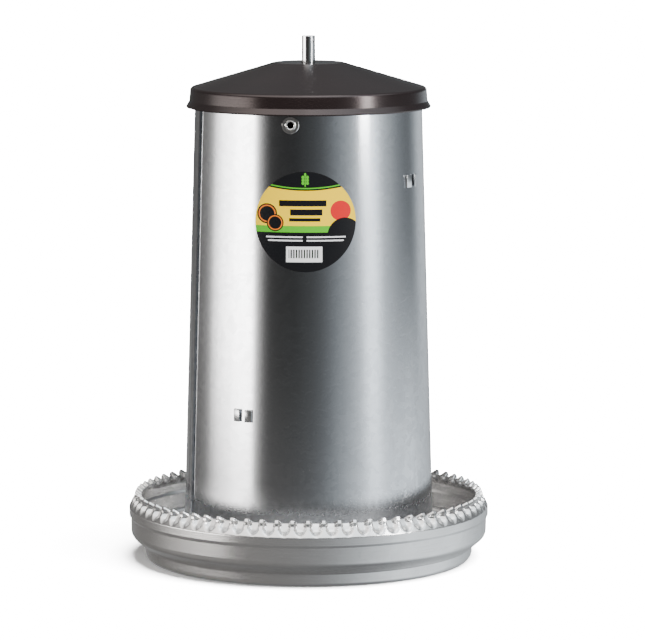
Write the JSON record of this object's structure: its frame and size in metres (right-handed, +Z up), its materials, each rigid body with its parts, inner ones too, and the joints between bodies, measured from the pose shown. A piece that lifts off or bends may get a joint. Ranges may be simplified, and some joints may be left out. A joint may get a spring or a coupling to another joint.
{
  "type": "gravity poultry feeder",
  "caption": "Galvanised gravity feeder: tapered hopper over a crimped-rim pan on a centre tube, with a lift-off plastic lid.",
  "frame": {"origin": "on the floor, under the centre of the pan", "axes": "+Z up along the centre tube; -Y is the front, where the label is; +X to the right seen from the front"},
  "size_m": [0.4, 0.4, 0.58],
  "materials": {
    "pan_zinc": "galvanised, satin",
    "hopper_zinc": "galvanised, satin",
    "tube_zinc": "zinc plated, satin",
    "bar_zinc": "galvanised, satin",
    "fastener_zinc": "bright zinc plated",
    "eyelet_nickel": "nickel plated, bright",
    "lid_plastic": "moulded, semi-gloss",
    "label_film": "printed film, glossy"
  },
  "bodies": {
    "base": {"base_pan": "pan_zinc", "feed_cone": "pan_zinc", "centre_tube": "tube_zinc", "tube_plug": "fastener_zinc", "foot_washer": "fastener_zinc", "bolt_washer": "fastener_zinc", "spring_washer": "fastener_zinc", "pan_bolt": "fastener_zinc"},
    "pin": {"height_pin": "fastener_zinc"},
    "hopper": {"hopper_shell": "hopper_zinc", "upper_crossbar": "bar_zinc", "lower_crossbar": "bar_zinc", "front_eyelet": "eyelet_nickel", "back_eyelet": "eyelet_nickel", "label": "label_film"},
    "lid": {"lid": "lid_plastic"}
  },
  "joints": [
    {"name": "hopper_lift", "type": "slide", "parent": "base", "child": "hopper", "axis": [0, 0, 1], "range_m": [0, 0.57]},
    {"name": "lid_lift", "type": "slide", "parent": "hopper", "child": "lid", "axis": [0, 0, 1], "range_m": [0, 0.1]},
    {"name": "pin_pull", "type": "slide", "parent": "base", "child": "pin", "axis": [0.8192, -0.5736, 0], "range_m": [0, 0.05]}
  ]
}
